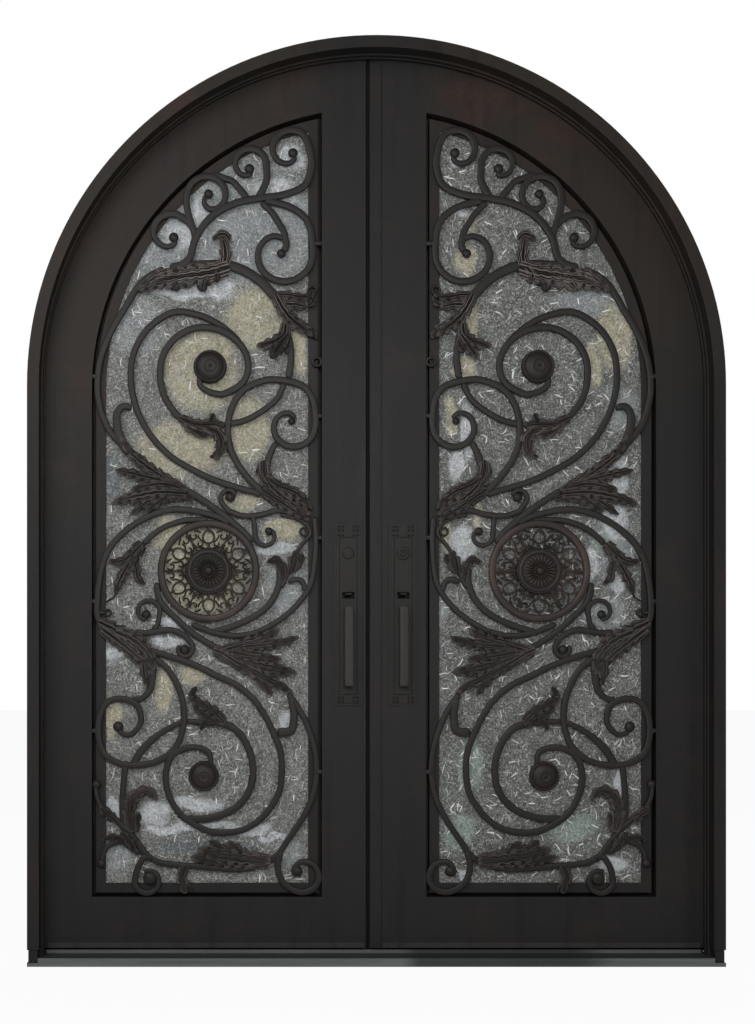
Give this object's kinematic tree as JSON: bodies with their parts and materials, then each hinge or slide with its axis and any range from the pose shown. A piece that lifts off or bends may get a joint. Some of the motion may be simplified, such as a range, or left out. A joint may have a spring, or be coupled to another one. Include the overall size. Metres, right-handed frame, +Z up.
{
  "type": "arched double wrought iron entry door",
  "caption": "Arched double entry door of dark wrought iron, with obscure glass behind forged scroll grilles, long pulls with thumb latches, a steel frame and a sill.",
  "frame": {"origin": "underside of the sill, below the middle of the doorway, in the plane of the leaves' outer face", "axes": "+X to the right seen from outside, +Y into the building, +Z up"},
  "size_m": [1.829, 0.165, 2.438],
  "materials": {
    "frame_iron": "dark bronze patina, satin",
    "leaf_iron": "dark bronze patina with reddish brown mottling, satin",
    "scroll_iron": "hand rubbed dark bronze, satin",
    "pull_iron": "oiled bronze, satin",
    "sill_metal": "mill, worn",
    "obscure_glass": "cast obscure glass with small raised strokes",
    "seal_rubber": "matt"
  },
  "bodies": {
    "frame": {"left_jamb": "frame_iron", "right_jamb": "frame_iron", "left_head": "frame_iron", "right_head": "frame_iron", "left_stop": "frame_iron", "right_stop": "frame_iron", "head_stop": "frame_iron", "sill": "sill_metal", "threshold_strip": "sill_metal", "frame_feet": "frame_iron", "hinge_seats": "frame_iron"},
    "left_leaf": {"left_hinge_stile": "leaf_iron", "left_lock_stile": "leaf_iron", "left_bottom_rail": "leaf_iron", "left_arch_rail": "leaf_iron", "left_glass_frame": "leaf_iron", "left_glass": "obscure_glass", "left_scrollwork": "scroll_iron", "left_acanthus": "scroll_iron", "left_rosette": "scroll_iron", "left_bosses": "scroll_iron", "left_pull_plates": "pull_iron", "left_pull_grips": "pull_iron", "left_hinge_barrels": "leaf_iron", "left_drip_strip": "pull_iron"},
    "right_leaf": {"right_hinge_stile": "leaf_iron", "right_lock_stile": "leaf_iron", "right_bottom_rail": "leaf_iron", "right_arch_rail": "leaf_iron", "right_glass_frame": "leaf_iron", "right_glass": "obscure_glass", "right_scrollwork": "scroll_iron", "right_acanthus": "scroll_iron", "right_rosette": "scroll_iron", "right_bosses": "scroll_iron", "right_pull_plates": "pull_iron", "right_pull_grips": "pull_iron", "right_hinge_barrels": "leaf_iron", "right_drip_strip": "pull_iron", "astragal": "leaf_iron", "meeting_seal": "seal_rubber", "key_cylinder": "pull_iron"},
    "left_thumb": {"left_thumb_piece": "pull_iron"},
    "right_thumb": {"right_thumb_piece": "pull_iron"}
  },
  "joints": [
    {"name": "left_leaf_hinge", "type": "hinge", "parent": "frame", "child": "left_leaf", "pos_m": [-0.8915, 0.062, 0.82], "axis": [0, 0, 1], "range_deg": [0, 90]},
    {"name": "right_leaf_hinge", "type": "hinge", "parent": "frame", "child": "right_leaf", "pos_m": [0.8915, 0.062, 0.82], "axis": [0, 0, -1], "range_deg": [0, 90]},
    {"name": "left_thumb_press", "type": "hinge", "parent": "left_leaf", "child": "left_thumb", "pos_m": [-0.069, 0.008, 0.977], "axis": [1, 0, 0], "range_deg": [0, 12], "stiffness_Nm_per_rad": 0.3, "springref_deg": -8.59},
    {"name": "right_thumb_press", "type": "hinge", "parent": "right_leaf", "child": "right_thumb", "pos_m": [0.077, 0.008, 0.977], "axis": [1, 0, 0], "range_deg": [0, 12], "stiffness_Nm_per_rad": 0.3, "springref_deg": -8.59}
  ]
}
